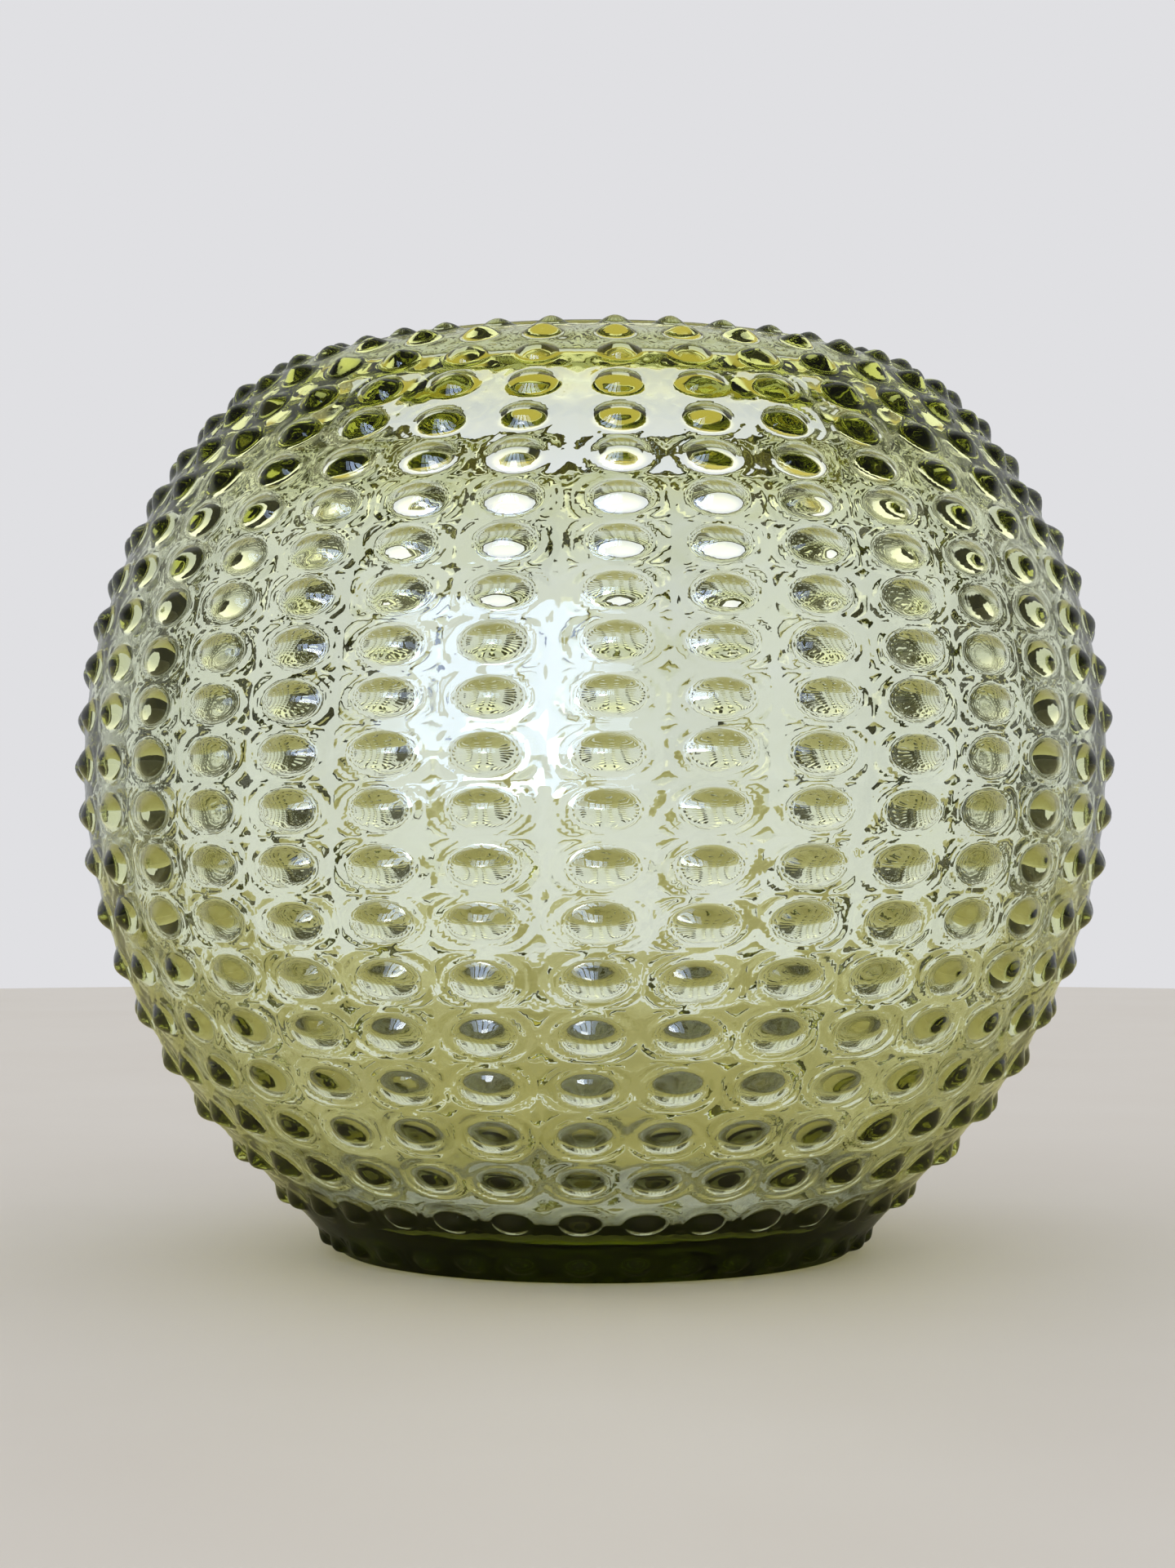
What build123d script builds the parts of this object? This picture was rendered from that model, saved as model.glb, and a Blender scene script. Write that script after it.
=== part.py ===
from build123d import *
import os
from math import asin, cos, degrees, pi, radians, sin, sqrt, tan

# Hobnail glass globe: a blown wall on a thick solid foot, with an open mouth at the top and
# rows of oval knobs all over the outside. +Z is up and the origin is the centre of the foot's
# underside. The mould seam's front line is near -Y.

# ---- driving dimensions, in millimetres and degrees ----
OVERALL_HEIGHT = 300.0
BODY_RADIUS = 171.5  # wall's outside at the equator, without the knobs
EQUATOR_HEIGHT = 164.0
WALL = 5.0

LOWER_ARC_RADIUS = 185.0  # belly, from the equator down
FOOT_CONE_ANGLE = 43.5  # straight lower wall, measured from the vertical
UPPER_ARC_RADIUS = 168.0  # from the equator up
SHOULDER_ANGLE = 44.0  # where the upper arc gives way to the tighter shoulder
SHOULDER_RADIUS = 60.0
LIP_SLOPE = 10.5  # the last of the shoulder still rises towards the mouth

MOUTH_RADIUS = 83.5  # clear opening
RIM_BEAD_RADIUS = 3.7

FLOOR_HEIGHT = 16.0  # thickness of the solid glass under the inside floor
FOOT_EDGE_ROUND = 1.5
PUNT_RADIUS = 68.0  # shallow domed hollow under the foot
PUNT_DEPTH = 3.0

COLUMNS_PER_MOULD_HALF = 17
SEAM_EXTRA = 1.2  # the gap across each mould seam is this much wider, in degrees
ROW_COUNT = 22
FIRST_ROW = 7.5  # along the wall from the foot's edge to the first row's middle
ROW_PITCH_AT_FOOT = 20.7
ROW_PITCH_EASE = 0.68  # each gap is narrower than the last by this much...
ROW_PITCH_SPREAD = 0.019  # ...less this times the square of the row's number
TWIST_AT_FOOT = -2.8
TWIST_PER_ROW = 0.525  # the pattern leans round the globe as it rises
TWIST_EASE = 0.0105

KNOB_WIDTH_SHARE = 0.53  # of the column pitch
KNOB_HALF_HEIGHT = 4.9
KNOB_ROUNDEST = 0.8  # half height over half width, where the columns crowd together
KNOB_RELIEF = 0.715  # how far a knob stands out, over its half height
KNOB_SINK = 0.25  # depth of the ellipsoid's centre below the wall, over the relief
KNOB_ROOT = 0.05  # a knob's flat base lies this far under the lowest wall it covers


def on_arc(centre, radius, angle):
    """Point of a circle in the profile plane, as (radius from the axis, height)."""
    return (
        centre[0] + radius * cos(radians(angle)),
        centre[1] + radius * sin(radians(angle)),
    )


# ---- the wall's outside, as arcs about three centres and two straight ends ----
lower_centre = (BODY_RADIUS - LOWER_ARC_RADIUS, EQUATOR_HEIGHT)
upper_centre = (BODY_RADIUS - UPPER_ARC_RADIUS, EQUATOR_HEIGHT)
shoulder_centre = on_arc(upper_centre, UPPER_ARC_RADIUS - SHOULDER_RADIUS, SHOULDER_ANGLE)
LIP_NORMAL = 90.0 - LIP_SLOPE


def down_cone(point, height):
    """Where the foot's cone, going down from a point, reaches a height."""
    return (point[0] - (point[1] - height) * tan(radians(FOOT_CONE_ANGLE)), height)


def along_lip(point, radius):
    """Where the lip's slope, going in from a point, reaches a radius."""
    return (radius, point[1] + (point[0] - radius) * tan(radians(LIP_SLOPE)))


def profile_points(inset):
    """Joints of the wall's profile, from the foot to the lip, for a surface inset from the outside."""
    cone_top = on_arc(lower_centre, LOWER_ARC_RADIUS - inset, -FOOT_CONE_ANGLE)
    shoulder = on_arc(upper_centre, UPPER_ARC_RADIUS - inset, SHOULDER_ANGLE)
    lip = on_arc(shoulder_centre, SHOULDER_RADIUS - inset, LIP_NORMAL)
    return cone_top, shoulder, lip


outer_cone_top, outer_shoulder, outer_lip = profile_points(0)
inner_cone_top, inner_shoulder, inner_lip = profile_points(WALL)
outer_equator = (BODY_RADIUS, EQUATOR_HEIGHT)
inner_equator = (BODY_RADIUS - WALL, EQUATOR_HEIGHT)
foot_edge = down_cone(outer_cone_top, 0)


def wall_arcs(centre, radius, first, last):
    """Draws a wall band's outside and inside arcs inside a BuildLine."""
    CenterArc(centre, radius, first, last - first)
    CenterArc(centre, radius - WALL, first, last - first)


# ---- wall: one blown shell, in bands that meet where its curve changes ----
with BuildPart() as lower_wall:
    with BuildSketch(Plane.XZ) as lower_section:
        with BuildLine():
            Polyline(
                down_cone(outer_cone_top, FLOOR_HEIGHT),
                outer_cone_top,
                inner_cone_top,
                down_cone(inner_cone_top, FLOOR_HEIGHT),
                close=True,
            )
        make_face()
    revolve(axis=Axis.Z)
lower_wall.part.label = "lower_wall"

with BuildPart() as belly_wall:
    with BuildSketch(Plane.XZ) as belly_section:
        with BuildLine():
            wall_arcs(lower_centre, LOWER_ARC_RADIUS, -FOOT_CONE_ANGLE, 0)
            Line(outer_cone_top, inner_cone_top)
            Line(outer_equator, inner_equator)
        make_face()
    revolve(axis=Axis.Z)
belly_wall.part.label = "belly_wall"

with BuildPart() as crown_wall:
    with BuildSketch(Plane.XZ) as crown_section:
        with BuildLine():
            wall_arcs(upper_centre, UPPER_ARC_RADIUS, 0, SHOULDER_ANGLE)
            Line(outer_equator, inner_equator)
            Line(outer_shoulder, inner_shoulder)
        make_face()
    revolve(axis=Axis.Z)
crown_wall.part.label = "crown_wall"

with BuildPart() as shoulder_wall:
    with BuildSketch(Plane.XZ) as shoulder_section:
        with BuildLine():
            wall_arcs(shoulder_centre, SHOULDER_RADIUS, SHOULDER_ANGLE, LIP_NORMAL)
            Line(outer_shoulder, inner_shoulder)
            Line(outer_lip, inner_lip)
        make_face()
    revolve(axis=Axis.Z)
shoulder_wall.part.label = "shoulder_wall"

# ---- foot: solid glass disc with a coned side and a shallow hollow underneath ----
punt_curve = (PUNT_RADIUS**2 + PUNT_DEPTH**2) / (2 * PUNT_DEPTH)
with BuildPart() as solid_foot:
    with BuildSketch(Plane.XZ) as foot_section:
        with BuildLine():
            Polyline(
                (0, PUNT_DEPTH),
                (0, FLOOR_HEIGHT),
                down_cone(outer_cone_top, FLOOR_HEIGHT),
                foot_edge,
                (PUNT_RADIUS, 0),
            )
            RadiusArc((PUNT_RADIUS, 0), (0, PUNT_DEPTH), -punt_curve)
        make_face()
    revolve(axis=Axis.Z)
    resting_edges = solid_foot.edges().filter_by(GeomType.CIRCLE).group_by(Axis.Z)[0]
    fillet(resting_edges.sort_by(SortBy.RADIUS)[-1], FOOT_EDGE_ROUND)
solid_foot.part.label = "solid_foot"

# ---- mouth rim: the wall's last ring, ending in a fire-polished bead ----
bead_centre = (MOUTH_RADIUS + RIM_BEAD_RADIUS, OVERALL_HEIGHT - RIM_BEAD_RADIUS)
with BuildPart() as mouth_rim:
    with BuildSketch(Plane.XZ) as rim_section:
        with BuildLine():
            Polyline(
                outer_lip,
                along_lip(outer_lip, bead_centre[0]),
                along_lip(inner_lip, bead_centre[0]),
                inner_lip,
                close=True,
            )
        make_face()
        with Locations(bead_centre):
            Circle(RIM_BEAD_RADIUS)
    revolve(axis=Axis.Z)
mouth_rim.part.label = "mouth_rim"


def wall_station(distance):
    """Radius, height and normal angle of the wall's outside at a distance up from the foot's edge."""
    cone_length = (outer_cone_top[1] - foot_edge[1]) / cos(radians(FOOT_CONE_ANGLE))
    if distance < cone_length:
        height = distance * cos(radians(FOOT_CONE_ANGLE))
        return (*down_cone(outer_cone_top, height), -FOOT_CONE_ANGLE)
    start = cone_length
    arcs = (
        (lower_centre, LOWER_ARC_RADIUS, -FOOT_CONE_ANGLE, 0.0),
        (upper_centre, UPPER_ARC_RADIUS, 0.0, SHOULDER_ANGLE),
        (shoulder_centre, SHOULDER_RADIUS, SHOULDER_ANGLE, LIP_NORMAL),
    )
    for centre, radius, first, last in arcs:
        length = radius * radians(last - first)
        if distance < start + length:
            angle = first + degrees((distance - start) / radius)
            return (*on_arc(centre, radius, angle), angle)
        start += length
    raise ValueError("the rows of knobs end on the shoulder")


def row_distance(row):
    """Distance up the wall from the foot's edge to the middle of a row, counted from 0."""
    gaps = range(row)
    return FIRST_ROW + sum(
        ROW_PITCH_AT_FOOT - ROW_PITCH_EASE * gap + ROW_PITCH_SPREAD * gap**2 for gap in gaps
    )


def column_angles(row):
    """Angles about Z of a row's knobs: two mould halves, a little apart at each seam."""
    twist = TWIST_AT_FOOT + TWIST_PER_ROW * row - TWIST_EASE * row**2
    pitch = (180 - SEAM_EXTRA) / COLUMNS_PER_MOULD_HALF
    seam = twist - 90 - (pitch + SEAM_EXTRA) / 2
    return [
        seam + half + SEAM_EXTRA / 2 + (column + 0.5) * pitch
        for half in (0, 180)
        for column in range(COLUMNS_PER_MOULD_HALF)
    ]


def knob_sizes(radius, normal):
    """Half width, half height, relief and root depth of a knob seated where the wall has this radius."""
    half_width = KNOB_WIDTH_SHARE * pi * radius / (2 * COLUMNS_PER_MOULD_HALF)
    half_height = min(KNOB_HALF_HEIGHT, KNOB_ROUNDEST * half_width)
    wall_falls_away = half_width**2 * cos(radians(normal)) / (2 * radius)
    return half_width, half_height, KNOB_RELIEF * half_height, wall_falls_away + KNOB_ROOT


# ---- hobnails: each row is one node of separate knobs, rooted in the wall ----
hobnail_rows = []
for row in range(ROW_COUNT):
    radius, height, normal = wall_station(row_distance(row))
    half_width, half_height, relief, root = knob_sizes(radius, normal)
    sink = KNOB_SINK * relief
    depth = relief + sink
    spread = depth / sqrt(depth**2 - sink**2)  # widens the ellipsoid, so that it fits at the wall
    outward = Vector(cos(radians(normal)), 0, sin(radians(normal)))
    seat = Plane(Vector(radius, 0, height) - outward * sink, x_dir=(0, 1, 0), z_dir=outward)
    with BuildPart() as knob:
        base_latitude = degrees(asin((sink - root) / depth))
        Sphere(1, arc_size1=base_latitude, align=(Align.CENTER, Align.CENTER, Align.NONE))
        scale(by=(half_width * spread, half_height * spread, depth))
    seats = [Location((0, 0, 0), (0, 0, angle)) * seat.location for angle in column_angles(row)]
    with BuildPart() as hobnail_row:
        with Locations(*seats):
            add(knob.part.solids(), mode=Mode.REPLACE)  # side by side, with nothing to fuse
    hobnail_row.part.label = f"hobnail_row_{row + 1:02d}"
    hobnail_rows.append(hobnail_row)

# ---- output ----
os.makedirs("parts", exist_ok=True)
for piece in (solid_foot, lower_wall, belly_wall, crown_wall, shoulder_wall, mouth_rim, *hobnail_rows):
    export_step(piece.part, f"parts/{piece.part.label}.step")
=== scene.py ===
import math
import bpy
import numpy as np
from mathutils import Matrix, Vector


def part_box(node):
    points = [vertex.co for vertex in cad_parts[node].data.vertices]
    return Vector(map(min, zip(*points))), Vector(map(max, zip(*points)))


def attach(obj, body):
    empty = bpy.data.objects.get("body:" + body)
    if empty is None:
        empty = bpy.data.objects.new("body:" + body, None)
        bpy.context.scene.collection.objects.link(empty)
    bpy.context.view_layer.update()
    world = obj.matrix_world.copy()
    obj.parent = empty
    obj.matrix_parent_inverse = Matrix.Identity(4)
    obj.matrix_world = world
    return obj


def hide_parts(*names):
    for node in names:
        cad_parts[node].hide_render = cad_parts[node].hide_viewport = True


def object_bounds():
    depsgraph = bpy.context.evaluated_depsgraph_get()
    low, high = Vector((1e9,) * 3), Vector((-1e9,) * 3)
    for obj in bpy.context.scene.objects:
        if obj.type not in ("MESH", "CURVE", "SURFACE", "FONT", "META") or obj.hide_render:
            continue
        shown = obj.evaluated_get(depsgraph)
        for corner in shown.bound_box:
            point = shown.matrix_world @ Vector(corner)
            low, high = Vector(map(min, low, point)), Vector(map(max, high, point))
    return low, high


# A hobnail glass globe as one continuous piece of glass, with its wall, foot, rim and knobs.
# Lengths are in metres. The globe's profile and knob pattern repeat the CAD model's dimensions.

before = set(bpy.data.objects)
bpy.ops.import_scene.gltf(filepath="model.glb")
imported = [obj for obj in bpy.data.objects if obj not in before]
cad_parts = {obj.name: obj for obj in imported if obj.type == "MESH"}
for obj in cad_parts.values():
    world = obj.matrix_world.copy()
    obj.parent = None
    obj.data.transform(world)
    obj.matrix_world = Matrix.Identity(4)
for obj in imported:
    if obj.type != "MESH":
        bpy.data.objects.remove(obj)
cad_low, cad_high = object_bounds()

MM = 0.001
SEED = 7

# ---- the CAD model's driving dimensions ----
OVERALL_HEIGHT = cad_high.z
BODY_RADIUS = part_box("belly_wall")[1].x
FLOOR_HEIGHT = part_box("solid_foot")[1].z
EQUATOR_HEIGHT = 164 * MM
WALL = 5 * MM
LOWER_ARC_RADIUS = 185 * MM
FOOT_CONE_ANGLE = math.radians(43.5)
UPPER_ARC_RADIUS = 168 * MM
SHOULDER_ANGLE = math.radians(44)
SHOULDER_RADIUS = 60 * MM
LIP_SLOPE = math.radians(10.5)
MOUTH_RADIUS = 83.5 * MM
RIM_BEAD_RADIUS = 3.7 * MM
PUNT_RADIUS = 68 * MM
PUNT_DEPTH = 3 * MM

COLUMNS_PER_MOULD_HALF = 17
COLUMN_COUNT = 2 * COLUMNS_PER_MOULD_HALF
ROW_COUNT = 22
SEAM_EXTRA = math.radians(1.2)
FIRST_ROW = 7.5 * MM
ROW_PITCH_AT_FOOT = 20.7 * MM
ROW_PITCH_EASE = 0.68 * MM
ROW_PITCH_SPREAD = 0.019 * MM
TWIST_AT_FOOT = math.radians(-2.8)
TWIST_PER_ROW = math.radians(0.525)
TWIST_EASE = math.radians(0.0105)
KNOB_WIDTH_SHARE = 0.53
KNOB_HALF_HEIGHT = 4.9 * MM
KNOB_ROUNDEST = 0.8
KNOB_RELIEF = 0.715

# ---- what moulded glass adds to that: rounded corners, soft knobs and an uneven wall ----
HEEL_ROUND = 2.2 * MM  # between the underside and the foot's cone
FLOOR_ROUND = 32 * MM  # between the inside floor and the wall
FLOOR_MIDDLE = 0.4 * MM  # radius of the innermost ring of the inside floor

KNOB_SPREAD = 1.14  # soft knobs run out this much wider than the CAD's sharp ones
KNOB_SOFTNESS = 0.25  # how gently a knob's side turns into the wall
TIP = 0.42  # roundness of a knob's tip, over its half width
TIP_SHARE = 0.6  # a knob's height is this much tip, and the rest an even ball
BALL = 0.85  # how much of a half ball that is
EDGE_SLOPE = 2.2  # how fast a knob's height goes on falling past its edge
KNOB_END = 1.6  # where a knob has faded out, over its half width
KNOB_FADE = 0.3  # and over how much of it
RING_AT = 1.45  # the faint raised ring round each knob
RING_WIDTH = 0.2
RING_HEIGHT = 0.075  # over the knob's height
REACH = 1.9  # how far out a knob changes the surface, over its half height
KNOB_STRAYS = 0.25 * MM
KNOB_SIZE_VARIES = 0.025
KNOB_HEIGHT_VARIES = 0.04

DIMPLE = 0.13  # depth of the hollow behind each knob, over the knob's height
DIMPLE_SPREAD = 1.3
INSIDE_EVEN_TO = 20 * MM  # the inside is smooth up to here along the wall
INSIDE_UNEVEN_FROM = 45 * MM
OUTSIDE_RIPPLE = 0.12 * MM
INSIDE_RIPPLE = 0.26 * MM
SEAM_HEIGHT = 0.12 * MM
SEAM_WIDTH = 0.9 * MM
# how far the inside stands in from an even wall, by height: least at the belly, most at the shoulder
THICKENING_AT = [30 * MM, 95 * MM, 238 * MM, 262 * MM, 286 * MM, OVERALL_HEIGHT - 2 * RIM_BEAD_RADIUS]
THICKENING = [0, -0.6 * MM, -0.6 * MM, 1.4 * MM, 5.6 * MM, 0]

# ---- how finely the glass is meshed ----
FINE = 1.0
SEGMENTS_PER_COLUMN = int(18 * FINE)
OUTSIDE_STEP = 1.15 * MM / FINE
INSIDE_STEP = 1.9 * MM / FINE
UNDERSIDE_STEP = 4 * MM
FLOOR_STEP = 3 * MM
CORNER_STEP = 1.2 * MM
BEAD_STEP = 0.5 * MM
HEEL_STEP = 0.4 * MM


def linear(*srgb):
    """An 8-bit display colour as linear values."""
    return tuple(((c / 255 + 0.055) / 1.055) ** 2.4 if c > 10 else c / 255 / 12.92 for c in srgb)


# ---- the glass's look ----
GLASS_IOR = 1.5
STRIA_TINTS = (0.97, 0.985, 0.95), (1.0, 1.0, 0.99)
STRIAE = 14, 3  # a noise texture's scale and detail, as below
ROUGH_PATCHES = 30, 4
ROUGH_FROM = 0.35
ROUGHEST_AT = 0.8
ROUGHEST = 0.015
ORANGE_PEEL_GRAIN = 220, 2
ORANGE_PEEL = 0.2 * MM
ORANGE_PEEL_STRENGTH = 0.15
DEPTH_COLOUR = (0.61, 0.64, 0.03, 1)
DEPTH_DENSITY = 64

# ---- the stage, whose colours are linear values ----
BACKDROP = linear(224, 224, 227)
STUDIO_COLOUR = (0.93, 0.93, 0.94)
FLOOR_REACH = 1.88
FLOOR_GAP = 0.2 * MM
FLOOR_CORNERS = 192
FLOOR_ROUGHNESS = 0.6
FLOOR_COLOURS = linear(214, 207, 197), linear(222, 217, 209)
FLOOR_MOTTLE = 6, 3
WOOD_COLOURS = linear(156, 146, 88), linear(214, 208, 150)
WOOD_GRAIN = 9, 5
FAR_WOOD_COLOUR = linear(216, 212, 168)
FAR_WOOD_FROM = 0.4
FAR_WOOD_TO = 1.5
# painted shadow of the globe on the floor, seen only by way of the glass: dark out to FOOT_SHADE from the
# axis, fading out by FOOT_SHADE_END
FOOT_PAINTED_SHADOW = linear(40, 37, 22)  # painted shadow, as rays through the glass see it
# the same painted shadow as the glass mirrors it, less dark
FOOT_PAINTED_SHADOW_MIRRORED = linear(84, 78, 60)
FOOT_SHADE = 84 * MM
FOOT_SHADE_END = 150 * MM

# what rays through the glass see: bright wall panels with dark gaps, under a warm ceiling. Heights are
# those of a direction.
PANEL_COUNT = 8
PANEL_COLOUR = (0.89, 0.93, 1.19)
HIGH_PANEL_COLOUR = (1.75, 1.75, 1.9)
HIGH_PANEL = 0.25, 0.65  # heights between which the panels brighten
GAP_COLOUR = (0.04, 0.04, 0.035)
PANEL_HALF = 0.29
PANEL_EDGE = 0.03
CEILING_COLOUR = (0.98, 0.82, 0.32)
CEILING = 0.78, 0.87  # heights between which the panels give way to it

# what reflections see: a window of tall panes with a small patch of bright sky, in a dim room. Turns
# are whole turns about Z from -Y.
WINDOW_COLOUR = (6.0, 7.6, 11.0)
WINDOW_TURN = 0.055  # how far the window's middle lies towards -X
WINDOW_HALF = 0.085
WINDOW_EDGE = 0.003
WINDOW_MIDDLE = 0.06
WINDOW_HALF_HEIGHT = 0.46
WINDOW_TOP_EDGE = 0.02
PANES = 30  # to a whole turn
PANE_HALF = 0.38
PANE_EDGE = 0.03
MIDDLE_PANES_HALF = 0.045
MIDDLE_PANES_EDGE = 0.02
SIDE_PANES_LIGHT = 0.4  # over the middle panes'
TRANSOM = -0.08  # from the window's middle
TRANSOM_HALF = 0.02
TRANSOM_EDGE = 0.015
SKY_COLOUR = (17.0, 18.5, 21.0)
SKY_HALF = 0.022
SKY_EDGE = 0.004
SKY_HALF_HEIGHT = 0.13
SKY_TOP_EDGE = 0.03
ROOM_COLOUR = (0.12, 0.12, 0.11)
BEYOND_COLOUR = (0.45, 0.46, 0.47)
BEYOND = 0.1, 0.5  # a direction's Y between which the room brightens, behind the globe

# ---- the camera, placed in multiples of a radius between the wall's and the knobs' tips ----
CAMERA_UNIT = BODY_RADIUS + 1.4 * MM
CAMERA_BACK = 5.68
CAMERA_UP = 0.782
CAMERA_TILT = math.radians(1.27)
CAMERA_PAN = math.radians(0.15)
CAMERA_LENS = 66.1
CAMERA_SENSOR = 36


# =============================== the profile ===============================
PLAIN, OUTSIDE, INSIDE = range(3)  # smooth stretches of the section, and the wall's two sides


def arc(centre, radius, first, last, step):
    """Points and outward normals along a circle, from one angle to another, without the first."""
    count = max(2, math.ceil(abs(last - first) * radius / step))
    angles = np.linspace(first, last, count + 1)[1:]
    normals = np.stack([np.cos(angles), np.sin(angles)], 1)
    return np.array(centre) + radius * normals, normals


def straight(start, end, step):
    """Points along a line, without its first, and the normal on the line's right-hand side."""
    start, end = np.array(start, float), np.array(end, float)
    run = end - start
    length = np.hypot(*run)
    count = max(2, math.ceil(length / step))
    points = start + run * np.linspace(0, 1, count + 1)[1:, None]
    return points, np.tile([run[1] / length, -run[0] / length], (count, 1))


LOWER_CENTRE = np.array([BODY_RADIUS - LOWER_ARC_RADIUS, EQUATOR_HEIGHT])
UPPER_CENTRE = np.array([BODY_RADIUS - UPPER_ARC_RADIUS, EQUATOR_HEIGHT])
SHOULDER_CENTRE = UPPER_CENTRE + (UPPER_ARC_RADIUS - SHOULDER_RADIUS) * np.array(
    [math.cos(SHOULDER_ANGLE), math.sin(SHOULDER_ANGLE)]
)
LIP_NORMAL = math.pi / 2 - LIP_SLOPE


def wall_joints(inset):
    """Top of the foot's cone and start of the lip's slope, for a surface inset from the outside."""
    cone = np.array([math.cos(FOOT_CONE_ANGLE), -math.sin(FOOT_CONE_ANGLE)])
    lip = np.array([math.cos(LIP_NORMAL), math.sin(LIP_NORMAL)])
    return (
        LOWER_CENTRE + (LOWER_ARC_RADIUS - inset) * cone,
        SHOULDER_CENTRE + (SHOULDER_RADIUS - inset) * lip,
    )


def down_cone(top, height):
    """Where the foot's cone reaches a height."""
    return np.array([top[0] - (top[1] - height) * math.tan(FOOT_CONE_ANGLE), height])


def in_lip(start, radius):
    """Where the lip's slope reaches a radius."""
    return np.array([radius, start[1] + (start[0] - radius) * math.tan(LIP_SLOPE)])


def wall_run(inset, start, end_radius, step):
    """Wall surface from a point on the foot's cone up to a radius on the lip, with normals."""
    cone_top, lip_start = wall_joints(inset)
    return [
        straight(start, cone_top, step),
        arc(LOWER_CENTRE, LOWER_ARC_RADIUS - inset, -FOOT_CONE_ANGLE, 0, step),
        arc(UPPER_CENTRE, UPPER_ARC_RADIUS - inset, 0, SHOULDER_ANGLE, step),
        arc(SHOULDER_CENTRE, SHOULDER_RADIUS - inset, SHOULDER_ANGLE, LIP_NORMAL, step),
        straight(lip_start, in_lip(lip_start, end_radius), step),
    ]


def rounded_corner(before, corner, after, radius, step):
    """An arc that cuts a corner off: its first and last points, and its points with normals."""
    before, corner, after = (np.array(p, float) for p in (before, corner, after))
    one = (before - corner) / np.hypot(*(before - corner))
    two = (after - corner) / np.hypot(*(after - corner))
    half = math.acos(np.clip(one @ two, -1, 1)) / 2
    bisector = (one + two) / np.hypot(*(one + two))
    centre = corner + bisector * radius / math.sin(half)
    first = corner + one * radius / math.tan(half)
    last = corner + two * radius / math.tan(half)
    start = math.atan2(*(first - centre)[::-1])
    end = math.atan2(*(last - centre)[::-1])
    end += 2 * math.pi * round((start - end) / (2 * math.pi))
    count = max(4, math.ceil(abs(end - start) * radius / step))
    angles = np.linspace(start, end, count + 1)[1:]
    normals = np.stack([np.cos(angles), np.sin(angles)], 1)
    return first, last, (centre + radius * normals, normals)


def bead_reach(bead, lip):
    """Angle about the bead's centre between the lip's normal and where a lip line cuts the bead."""
    away = abs((lip - bead) @ np.array([math.cos(LIP_NORMAL), math.sin(LIP_NORMAL)]))
    return math.acos(away / RIM_BEAD_RADIUS)


def profile():
    """The glass's closed section, from the underside's middle round to the inside floor's middle:
    points, normals, and for each point whether it is PLAIN, OUTSIDE or INSIDE."""
    cone_top, lip_start = wall_joints(0)
    inner_top, inner_lip = wall_joints(WALL)

    # the shallow domed hollow under the foot, the resting ring and the heel
    punt_curve = (PUNT_RADIUS**2 + PUNT_DEPTH**2) / (2 * PUNT_DEPTH)
    punt_side = math.pi / 2 - math.asin(PUNT_RADIUS / punt_curve)
    punt_centre = (0, PUNT_DEPTH - punt_curve)
    punt, punt_normals = arc(punt_centre, punt_curve, math.pi / 2, punt_side, UNDERSIDE_STEP)
    runs = [(punt, -punt_normals, PLAIN)]
    ring_start = (PUNT_RADIUS, 0)
    ring_end, heel_end, heel = rounded_corner(
        ring_start, down_cone(cone_top, 0), cone_top, HEEL_ROUND, HEEL_STEP
    )
    runs.append((*straight(ring_start, ring_end, UNDERSIDE_STEP), PLAIN))
    runs.append((*heel, PLAIN))

    # the outside, and the rim's bead from where it rises out of the outside round to the inside
    bead = np.array([MOUTH_RADIUS + RIM_BEAD_RADIUS, OVERALL_HEIGHT - RIM_BEAD_RADIUS])
    bead_start = LIP_NORMAL - bead_reach(bead, lip_start)
    bead_end = LIP_NORMAL + math.pi + bead_reach(bead, inner_lip)
    outside_end = bead[0] + RIM_BEAD_RADIUS * math.cos(bead_start)
    inside_end = bead[0] + RIM_BEAD_RADIUS * math.cos(bead_end)
    for points, normals in wall_run(0, heel_end, outside_end, OUTSIDE_STEP):
        runs.append((points, normals, OUTSIDE))
    runs.append((*arc(bead, RIM_BEAD_RADIUS, bead_start, bead_end, BEAD_STEP), PLAIN))

    # the inside, worked out upwards and run downwards, and the inside floor
    floor_start, cone_start, (corner, corner_normals) = rounded_corner(
        (0, FLOOR_HEIGHT), down_cone(inner_top, FLOOR_HEIGHT), inner_top, FLOOR_ROUND, CORNER_STEP
    )
    inside = wall_run(WALL, cone_start, inside_end, INSIDE_STEP)
    points = np.concatenate([p for p, _ in inside])
    normals = np.concatenate([n for _, n in inside])
    runs.append((points[::-1], -normals[::-1], INSIDE))
    runs.append((corner[::-1], -corner_normals[::-1], PLAIN))
    runs.append((*straight(floor_start, (FLOOR_MIDDLE, FLOOR_HEIGHT), FLOOR_STEP), PLAIN))

    side = np.concatenate([np.full(len(p), which) for p, _, which in runs])
    return np.concatenate([p for p, _, _ in runs]), np.concatenate([n for _, n, _ in runs]), side


CLOSE = 1e-7  # for comparing distances


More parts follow.
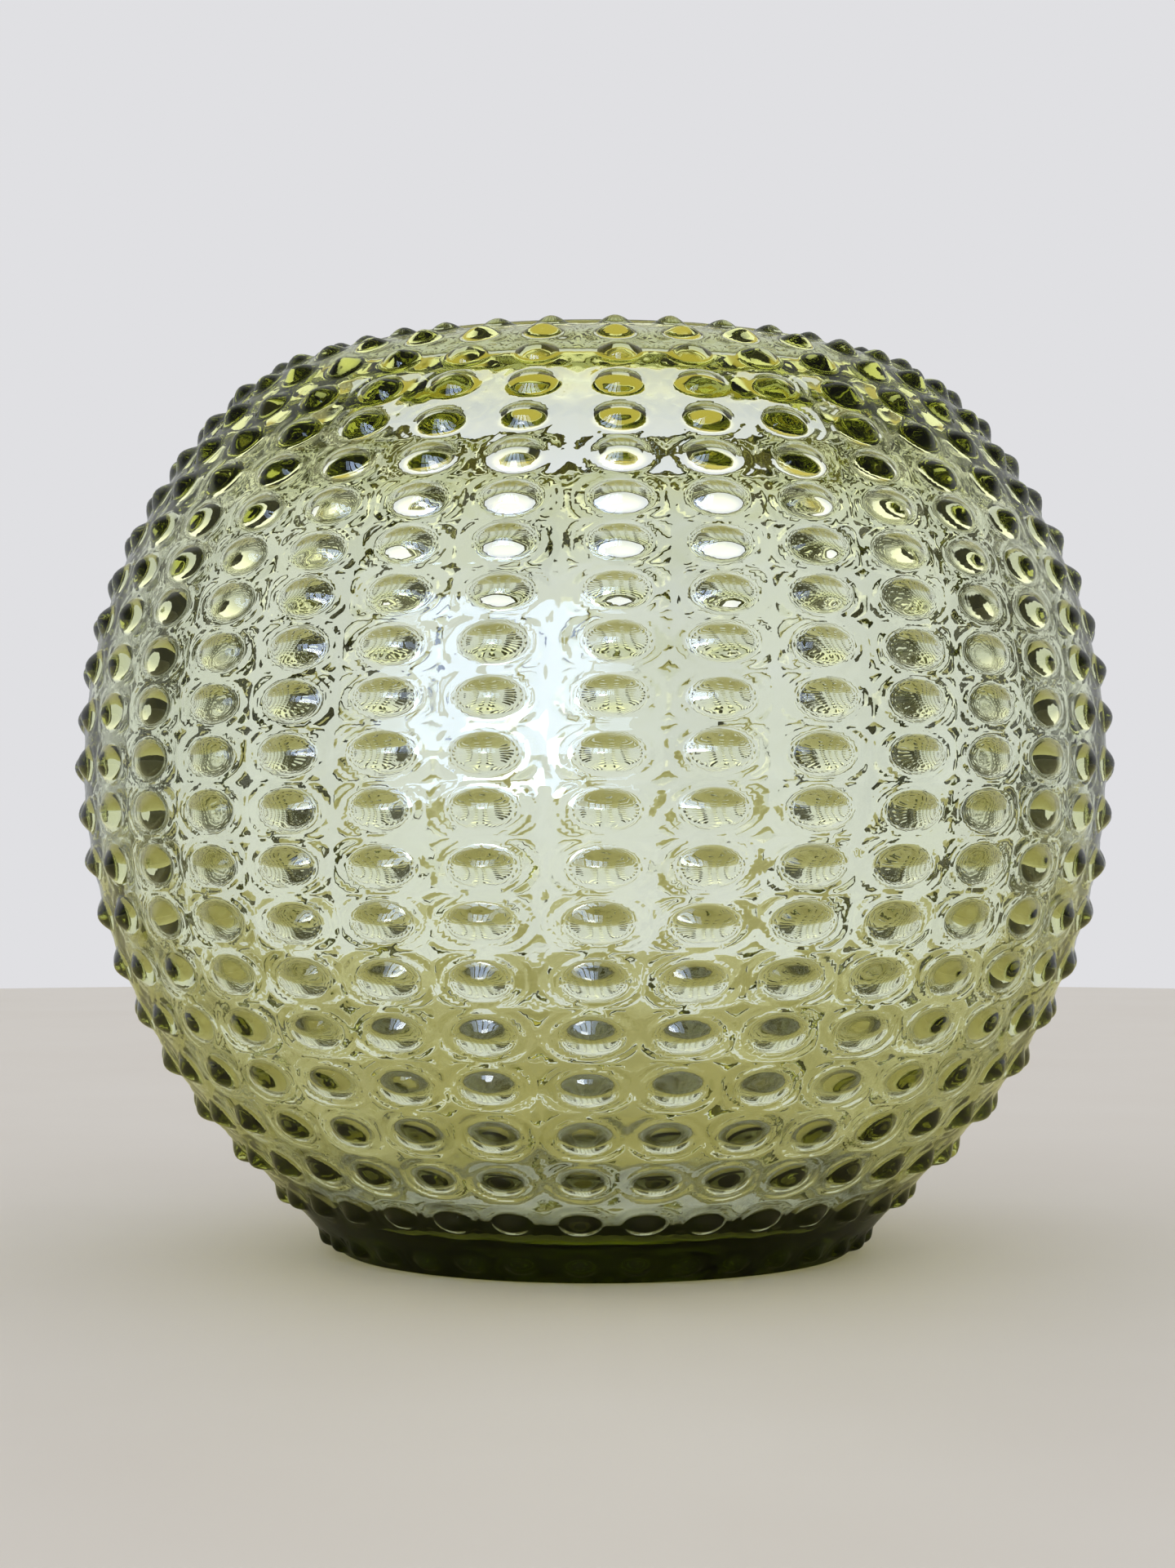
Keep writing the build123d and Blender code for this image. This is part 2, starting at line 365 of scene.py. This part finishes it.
def distance_up(points):
    """Distance along the wall's outside from the foot's edge, for points on or parallel to it."""
    cone_top, lip_start = wall_joints(0)
    cone_length = cone_top[1] / math.cos(FOOT_CONE_ANGLE)
    belly = cone_length + LOWER_ARC_RADIUS * FOOT_CONE_ANGLE
    crown = belly + UPPER_ARC_RADIUS * SHOULDER_ANGLE
    shoulder = crown + SHOULDER_RADIUS * (LIP_NORMAL - SHOULDER_ANGLE)
    up_cone = np.array([math.sin(FOOT_CONE_ANGLE), math.cos(FOOT_CONE_ANGLE)])
    out = (points - down_cone(cone_top, 0)) @ up_cone
    for centre, radius, first, last, start in (
        (LOWER_CENTRE, LOWER_ARC_RADIUS, -FOOT_CONE_ANGLE, 0, cone_length),
        (UPPER_CENTRE, UPPER_ARC_RADIUS, 0, SHOULDER_ANGLE, belly),
        (SHOULDER_CENTRE, SHOULDER_RADIUS, SHOULDER_ANGLE, LIP_NORMAL, crown),
    ):
        angle = np.arctan2(points[:, 1] - centre[1], points[:, 0] - centre[0])
        here = (angle > first) & (out >= start - CLOSE) if first < 0 else angle > first
        out = np.where(here, start + (np.minimum(angle, last) - first) * radius, out)
    past = (lip_start - points) @ np.array([math.cos(LIP_SLOPE), -math.sin(LIP_SLOPE)])
    return np.where(out >= shoulder - CLOSE, out + np.maximum(0, past), out)


def radius_at(distance):
    """Radius of the wall's outside at a distance up from the foot's edge."""
    cone_top, _ = wall_joints(0)
    start = cone_top[1] / math.cos(FOOT_CONE_ANGLE)
    if distance < start:
        return down_cone(cone_top, distance * math.cos(FOOT_CONE_ANGLE))[0]
    for centre, radius, first, last in (
        (LOWER_CENTRE, LOWER_ARC_RADIUS, -FOOT_CONE_ANGLE, 0),
        (UPPER_CENTRE, UPPER_ARC_RADIUS, 0, SHOULDER_ANGLE),
        (SHOULDER_CENTRE, SHOULDER_RADIUS, SHOULDER_ANGLE, LIP_NORMAL),
    ):
        if distance < start + radius * (last - first):
            return centre[0] + radius * math.cos(first + (distance - start) / radius)
        start += radius * (last - first)
    raise ValueError("the rows of knobs end on the shoulder")


# =============================== the knobs ===============================
COLUMN_PITCH = (math.pi - SEAM_EXTRA) / COLUMNS_PER_MOULD_HALF


def row_distance(row):
    """Distance up the wall to the middle of a row, counted from 0."""
    gaps = np.arange(row)
    return FIRST_ROW + np.sum(ROW_PITCH_AT_FOOT - ROW_PITCH_EASE * gaps + ROW_PITCH_SPREAD * gaps**2)


def twist(row):
    """How far round the globe a row is turned."""
    return TWIST_AT_FOOT + TWIST_PER_ROW * row - TWIST_EASE * row**2


def seam_angle(row):
    """Angle of the front mould seam at a row's height."""
    return twist(row) - math.pi / 2 - (COLUMN_PITCH + SEAM_EXTRA) / 2


def column_angles(row):
    """Angles about Z of a row's knobs: two mould halves, a little apart at each seam."""
    half = SEAM_EXTRA / 2 + (np.arange(COLUMNS_PER_MOULD_HALF) + 0.5) * COLUMN_PITCH
    return seam_angle(row) + np.concatenate([half, half + math.pi])


def wrapped(angle):
    """An angle brought to within half a turn of 0."""
    return (angle + math.pi) % (2 * math.pi) - math.pi


def knob_shape(out):
    """A knob's height over its full height, at a distance from its middle over its half width."""
    flat = math.sqrt(1 - BALL)
    highest = (1 + math.sqrt(1 + KNOB_SOFTNESS**2)) / 2
    tip = 1 - (np.hypot(TIP, out) - TIP) / (math.hypot(TIP, 1) - TIP)
    ball = (np.sqrt(np.maximum(1 - BALL * out**2, 0)) - flat) / (1 - flat)
    sharp = np.where(out < 1, TIP_SHARE * tip + (1 - TIP_SHARE) * ball, EDGE_SLOPE * (1 - out))
    soft = (sharp + np.sqrt(sharp**2 + KNOB_SOFTNESS**2)) / 2 / highest
    return soft * np.clip((KNOB_END - out) / KNOB_FADE, 0, 1)


def knob_relief(distance, angle, spread, ring_height=0.0):
    """How far the knobs raise each point, for a grid of stations and angles. spread widens the
    knobs, and ring_height raises a faint ring round each."""
    rng = np.random.default_rng(SEED)
    raised = np.zeros((len(distance), len(angle)))
    for row in range(ROW_COUNT):
        middle = row_distance(row)
        radius = radius_at(middle)
        half_width = KNOB_WIDTH_SHARE * math.pi * radius / COLUMN_COUNT
        half_height = min(KNOB_HALF_HEIGHT, KNOB_ROUNDEST * half_width)
        vary = rng.normal(size=(5, COLUMN_COUNT))
        near = np.abs(distance - middle) < REACH * spread * half_height
        if not near.any():
            continue
        columns = column_angles(row) + vary[0] * KNOB_STRAYS / radius
        offset = wrapped(angle[:, None] - columns[None])
        column = np.abs(offset).argmin(1)
        across = radius * offset[np.arange(len(angle)), column]
        wide = half_width * spread * (1 + KNOB_SIZE_VARIES * vary[1][column])
        tall = half_height * spread * (1 + KNOB_SIZE_VARIES * vary[2][column])
        up = distance[near][:, None] - middle - KNOB_STRAYS * vary[3][column][None]
        out = np.hypot(across[None] / wide, up / tall)
        full = KNOB_RELIEF * half_height * (1 + KNOB_HEIGHT_VARIES * vary[4][column])
        ring = ring_height * np.exp(-(((out - RING_AT) / RING_WIDTH) ** 2))
        raised[near] = np.maximum(raised[near], full * (knob_shape(out) + ring))
    return raised


def ripples(distance, angle, rng, count, longest, shortest):
    """Slow unevenness of blown glass, between about -1 and 1: waves round and along the wall."""
    out = np.zeros((len(distance), len(angle)))
    for _ in range(count):
        length = math.exp(rng.uniform(math.log(shortest), math.log(longest)))
        round_waves = rng.integers(1, max(2, int(2 * math.pi * BODY_RADIUS / length)))
        phase, phase_up = rng.uniform(0, 2 * math.pi, 2)
        along = np.sin(2 * math.pi * distance[:, None] / length + phase_up)
        out += np.sin(round_waves * angle[None] + phase) * along
    return out / math.sqrt(count)


def seam_ridge(distance, angle):
    """A fine raised line along each mould seam."""
    rows = np.array([row_distance(row) for row in range(ROW_COUNT)])
    seam = np.interp(distance, rows, [seam_angle(row) for row in range(ROW_COUNT)])
    out = np.zeros((len(distance), len(angle)))
    for half in (0, math.pi):
        away = BODY_RADIUS * wrapped(angle[None] - seam[:, None] - half)
        out += np.exp(-((away / SEAM_WIDTH) ** 2))
    return SEAM_HEIGHT * out


def glass_surface():
    """Grid of points of the whole glass, one ring of angles for each point of the section."""
    section, normals, side = profile()
    distance = distance_up(section)
    around = COLUMN_COUNT * SEGMENTS_PER_COLUMN
    angle = np.arange(around) * 2 * math.pi / around
    push = np.zeros((len(section), around))
    rng = np.random.default_rng(SEED + 1)

    outside = side == OUTSIDE
    up = distance[outside]
    push[outside] = knob_relief(up, angle, KNOB_SPREAD, RING_HEIGHT)
    push[outside] += seam_ridge(up, angle)
    push[outside] += OUTSIDE_RIPPLE * ripples(up, angle, rng, count=10, longest=120 * MM, shortest=20 * MM)

    inside = side == INSIDE
    up = distance[inside]
    uneven = np.clip((up - INSIDE_EVEN_TO) / (INSIDE_UNEVEN_FROM - INSIDE_EVEN_TO), 0, 1)[:, None]
    push[inside] = -uneven * DIMPLE * knob_relief(up, angle, DIMPLE_SPREAD)
    waves = ripples(up, angle, rng, count=12, longest=160 * MM, shortest=28 * MM)
    push[inside] -= uneven * INSIDE_RIPPLE * waves
    push[inside] += np.interp(section[inside][:, 1], THICKENING_AT, THICKENING)[:, None]

    radius = section[:, 0][:, None] + push * normals[:, 0][:, None]
    height = section[:, 1][:, None] + push * normals[:, 1][:, None]
    return np.stack([radius * np.cos(angle), radius * np.sin(angle), height], 2)


def mesh_from_rings(name, rings, first_pole, last_pole):
    """A closed smooth mesh from rings of points, with a point at each end on the axis."""
    count, around = rings.shape[:2]
    points = np.concatenate([[first_pole], rings.reshape(-1, 3), [last_pole]])
    ring = np.arange(around)
    after = (ring + 1) % around
    base = 1 + np.arange(count - 1)[:, None] * around
    start, end = base + ring[None], base + after[None]
    quads = np.stack([start, end, end + around, start + around], 2).reshape(-1, 4)
    last = 1 + (count - 1) * around
    first_fan = np.stack([np.zeros(around, int), 1 + after, 1 + ring], 1)
    last_fan = np.stack([np.full(around, len(points) - 1), last + ring, last + after], 1)
    loops = np.concatenate([quads.ravel(), first_fan.ravel(), last_fan.ravel()])
    sizes = np.concatenate([np.full(len(quads), 4), np.full(2 * around, 3)])
    starts = np.concatenate([[0], np.cumsum(sizes)[:-1]])
    mesh = bpy.data.meshes.new(name)
    mesh.vertices.add(len(points))
    mesh.vertices.foreach_set("co", points.astype(np.float32).ravel())
    mesh.loops.add(len(loops))
    mesh.loops.foreach_set("vertex_index", loops.astype(np.int32))
    mesh.polygons.add(len(sizes))
    mesh.polygons.foreach_set("loop_start", starts.astype(np.int32))
    mesh.update(calc_edges=True)
    mesh.validate()
    mesh.shade_smooth()
    piece = bpy.data.objects.new(name, mesh)
    bpy.context.scene.collection.objects.link(piece)
    return piece


# =============================== materials ===============================
class Nodes:
    """Small helpers that write a node tree."""

    def __init__(self, tree):
        self.tree = tree

    def feed(self, socket, value):
        """Gives a socket a number, a colour or another node's output."""
        if isinstance(value, bpy.types.NodeSocket):
            self.tree.links.new(value, socket)
        else:
            socket.default_value = value

    def math(self, operation, *values):
        """A Math node's output."""
        node = self.tree.nodes.new("ShaderNodeMath")
        node.operation = operation
        for socket, value in zip(node.inputs, values):
            self.feed(socket, value)
        return node.outputs[0]

    def product(self, first, *others):
        """Several values multiplied together."""
        for other in others:
            first = self.math("MULTIPLY", first, other)
        return first

    def step(self, value, low, high):
        """0 below low, 1 above high, and smooth between."""
        node = self.tree.nodes.new("ShaderNodeMapRange")
        node.interpolation_type = "SMOOTHSTEP"
        self.feed(node.inputs["Value"], value)
        node.inputs["From Min"].default_value = low
        node.inputs["From Max"].default_value = high
        return node.outputs["Result"]

    def inside(self, value, half, edge):
        """1 within half of 0, falling to 0 over an edge."""
        return self.step(self.math("ABSOLUTE", value), half + edge, half)

    def repeats(self, turns, count):
        """Place within the nearest of so many equal parts of a turn, from -0.5 to 0.5."""
        parts = self.math("ADD", self.math("MULTIPLY", turns, count), 0.5)
        return self.math("SUBTRACT", self.math("FRACT", parts), 0.5)

    def mix(self, factor, first, second):
        """A colour that goes from the first to the second."""
        node = self.tree.nodes.new("ShaderNodeMix")
        node.data_type = "RGBA"
        self.feed(node.inputs["Factor"], factor)
        self.feed(node.inputs["A"], first)
        self.feed(node.inputs["B"], second)
        return node.outputs["Result"]

    def noise(self, scale, detail):
        """A noise texture's strength, in the object's own coordinates."""
        node = self.tree.nodes.new("ShaderNodeTexNoise")
        node.inputs["Scale"].default_value = scale
        node.inputs["Detail"].default_value = detail
        self.feed(node.inputs["Vector"], self.place())
        return node.outputs["Fac"]

    def place(self):
        """The object's own coordinates."""
        return self.tree.nodes.new("ShaderNodeTexCoord").outputs["Object"]


def opaque(colour):
    """A linear colour with its alpha."""
    return (*colour, 1)


def new_material(name):
    """A node material with a principled shader, its tree and its output."""
    material = bpy.data.materials.new(name)
    material.use_nodes = True
    tree = material.node_tree
    tree.nodes.clear()
    output = tree.nodes.new("ShaderNodeOutputMaterial")
    shader = tree.nodes.new("ShaderNodeBsdfPrincipled")
    tree.links.new(shader.outputs["BSDF"], output.inputs["Surface"])
    return material, tree, shader, output


def olive_glass():
    """Clear olive glass: faint striae, orange peel on the surface, and colour from its depth."""
    material, tree, shader, output = new_material("olive_glass")
    nodes = Nodes(tree)
    shader.inputs["Transmission Weight"].default_value = 1
    shader.inputs["IOR"].default_value = GLASS_IOR
    nodes.feed(shader.inputs["Base Color"], nodes.mix(nodes.noise(*STRIAE), *map(opaque, STRIA_TINTS)))

    rough = tree.nodes.new("ShaderNodeMapRange")
    rough.inputs["From Min"].default_value = ROUGH_FROM
    rough.inputs["From Max"].default_value = ROUGHEST_AT
    rough.inputs["To Min"].default_value = 0
    rough.inputs["To Max"].default_value = ROUGHEST
    nodes.feed(rough.inputs["Value"], nodes.noise(*ROUGH_PATCHES))
    nodes.feed(shader.inputs["Roughness"], rough.outputs["Result"])

    bump = tree.nodes.new("ShaderNodeBump")
    bump.inputs["Strength"].default_value = ORANGE_PEEL_STRENGTH
    bump.inputs["Distance"].default_value = ORANGE_PEEL
    nodes.feed(bump.inputs["Height"], nodes.noise(*ORANGE_PEEL_GRAIN))
    nodes.feed(shader.inputs["Normal"], bump.outputs["Normal"])

    depth = tree.nodes.new("ShaderNodeVolumeAbsorption")
    depth.inputs["Color"].default_value = DEPTH_COLOUR
    depth.inputs["Density"].default_value = DEPTH_DENSITY
    nodes.feed(output.inputs["Volume"], depth.outputs["Volume"])
    return material


def pale_floor():
    """Plain matt floor in a pale warm grey, with a very faint unevenness. Rays that come by way of the
    glass see it in a deeper wood tone, lighter far out, with a painted shadow of the globe round the foot:
    nearly black where the foot stands, less dark in reflections."""
    material, tree, shader, _ = new_material("pale_floor")
    nodes = Nodes(tree)
    shader.inputs["Roughness"].default_value = FLOOR_ROUGHNESS
    pale = nodes.mix(nodes.noise(*FLOOR_MOTTLE), *map(opaque, FLOOR_COLOURS))
    wood = nodes.mix(nodes.noise(*WOOD_GRAIN), *map(opaque, WOOD_COLOURS))

    from_middle = tree.nodes.new("ShaderNodeVectorMath")
    from_middle.operation = "LENGTH"
    nodes.feed(from_middle.inputs[0], nodes.place())
    away = from_middle.outputs["Value"]
    wood = nodes.mix(nodes.step(away, FAR_WOOD_FROM, FAR_WOOD_TO), wood, opaque(FAR_WOOD_COLOUR))
    ray = tree.nodes.new("ShaderNodeLightPath").outputs
    # painted shadow of the globe round the foot: darkest through the glass, dimmer in reflections off it
    foot = nodes.mix(ray["Is Transmission Ray"], opaque(FOOT_PAINTED_SHADOW_MIRRORED), opaque(FOOT_PAINTED_SHADOW))
    wood = nodes.mix(nodes.step(away, FOOT_SHADE, FOOT_SHADE_END), foot, wood)
    nodes.feed(shader.inputs["Base Color"], nodes.mix(ray["Is Glossy Ray"], pale, wood))
    return material


# =============================== the glass ===============================
def make_glass():
    """The whole globe as one closed piece of glass."""
    piece = mesh_from_rings("glass_globe", glass_surface(), (0, 0, PUNT_DEPTH), (0, 0, FLOOR_HEIGHT))
    piece.data.materials.append(olive_glass())
    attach(piece, "root")
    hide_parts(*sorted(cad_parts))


# =============================== stage, light, camera ===============================
def make_floor():
    """Round pale floor whose far edge is the line where the plain backdrop begins."""
    turn = np.arange(FLOOR_CORNERS) * 2 * math.pi / FLOOR_CORNERS
    level = np.full(FLOOR_CORNERS, -FLOOR_GAP)
    edge = np.stack([FLOOR_REACH * np.cos(turn), FLOOR_REACH * np.sin(turn), level], 1)
    mesh = bpy.data.meshes.new("floor")
    mesh.from_pydata(edge.tolist(), [], [list(range(FLOOR_CORNERS))])
    floor = bpy.data.objects.new("floor", mesh)
    bpy.context.scene.collection.objects.link(floor)
    floor.data.materials.append(pale_floor())


def through_glass(nodes, turn, z):
    """What a ray sees once it has passed through the glass."""
    panel = nodes.inside(nodes.repeats(turn, PANEL_COUNT), PANEL_HALF, PANEL_EDGE)
    lit = nodes.mix(nodes.step(z, *HIGH_PANEL), opaque(PANEL_COLOUR), opaque(HIGH_PANEL_COLOUR))
    wall = nodes.mix(panel, opaque(GAP_COLOUR), lit)
    return nodes.mix(nodes.step(z, *CEILING), wall, opaque(CEILING_COLOUR))


def in_reflections(nodes, turn, y, z):
    """What a mirrored ray sees: the window, brightest in its middle, a patch of sky and the room."""
    across = nodes.math("ADD", turn, WINDOW_TURN)
    up = nodes.math("SUBTRACT", z, WINDOW_MIDDLE)
    middle_panes = nodes.inside(across, MIDDLE_PANES_HALF, MIDDLE_PANES_EDGE)
    light = nodes.math("MULTIPLY", middle_panes, 1 - SIDE_PANES_LIGHT)
    from_transom = nodes.math("ABSOLUTE", nodes.math("SUBTRACT", up, TRANSOM))
    window = nodes.product(
        nodes.inside(across, WINDOW_HALF, WINDOW_EDGE),
        nodes.inside(up, WINDOW_HALF_HEIGHT, WINDOW_TOP_EDGE),
        nodes.inside(nodes.repeats(across, PANES), PANE_HALF, PANE_EDGE),
        nodes.math("ADD", light, SIDE_PANES_LIGHT),
        nodes.step(from_transom, TRANSOM_HALF, TRANSOM_HALF + TRANSOM_EDGE),
    )
    sky = nodes.product(
        nodes.inside(across, SKY_HALF, SKY_EDGE), nodes.inside(z, SKY_HALF_HEIGHT, SKY_TOP_EDGE)
    )
    room = nodes.mix(nodes.step(y, *BEYOND), opaque(ROOM_COLOUR), opaque(BEYOND_COLOUR))
    return nodes.mix(sky, nodes.mix(window, room, opaque(WINDOW_COLOUR)), opaque(SKY_COLOUR))


def make_world():
    """A studio seen in parts: plain to the camera, even on the floor, panels through the glass and
    a window in reflections."""
    world = bpy.data.worlds.new("studio")
    world.use_nodes = True
    bpy.context.scene.world = world
    tree = world.node_tree
    nodes = Nodes(tree)
    direction = tree.nodes.new("ShaderNodeSeparateXYZ")
    nodes.feed(direction.inputs[0], tree.nodes.new("ShaderNodeTexCoord").outputs["Generated"])
    x, y, z = direction.outputs
    turn = nodes.math("ARCTAN2", x, nodes.math("MULTIPLY", y, -1))
    turn = nodes.math("DIVIDE", turn, 2 * math.pi)

    # a ray refracted by the glass also counts as glossy, so the view through the glass comes last
    ray = tree.nodes.new("ShaderNodeLightPath").outputs
    seen = nodes.mix(ray["Is Camera Ray"], opaque(STUDIO_COLOUR), opaque(BACKDROP))
    seen = nodes.mix(ray["Is Glossy Ray"], seen, in_reflections(nodes, turn, y, z))
    seen = nodes.mix(ray["Is Transmission Ray"], seen, through_glass(nodes, turn, z))
    nodes.feed(tree.nodes["Background"].inputs["Color"], seen)


def make_camera():
    """A long lens just under a metre away, a little below the globe's middle and tilted up."""
    camera = bpy.data.objects.new("camera", bpy.data.cameras.new("camera"))
    camera.data.sensor_width = CAMERA_SENSOR
    camera.data.lens = CAMERA_LENS
    camera.location = (0, -CAMERA_BACK * CAMERA_UNIT, CAMERA_UP * CAMERA_UNIT)
    camera.rotation_euler = (math.pi / 2 + CAMERA_TILT, 0, CAMERA_PAN)
    bpy.context.scene.collection.objects.link(camera)
    bpy.context.scene.camera = camera


def set_up_film():
    """How light is traced and shown: many bounces for thick glass and a plain display curve."""
    scene = bpy.context.scene
    scene.view_settings.view_transform = "Standard"
    scene.cycles.max_bounces = 24
    scene.cycles.transmission_bounces = 24
    scene.cycles.glossy_bounces = 12
    scene.cycles.diffuse_bounces = 3
    scene.cycles.blur_glossy = 0.3
    scene.cycles.sample_clamp_indirect = 6
    scene.cycles.use_denoising = True


make_glass()
make_floor()
make_world()
make_camera()
set_up_film()
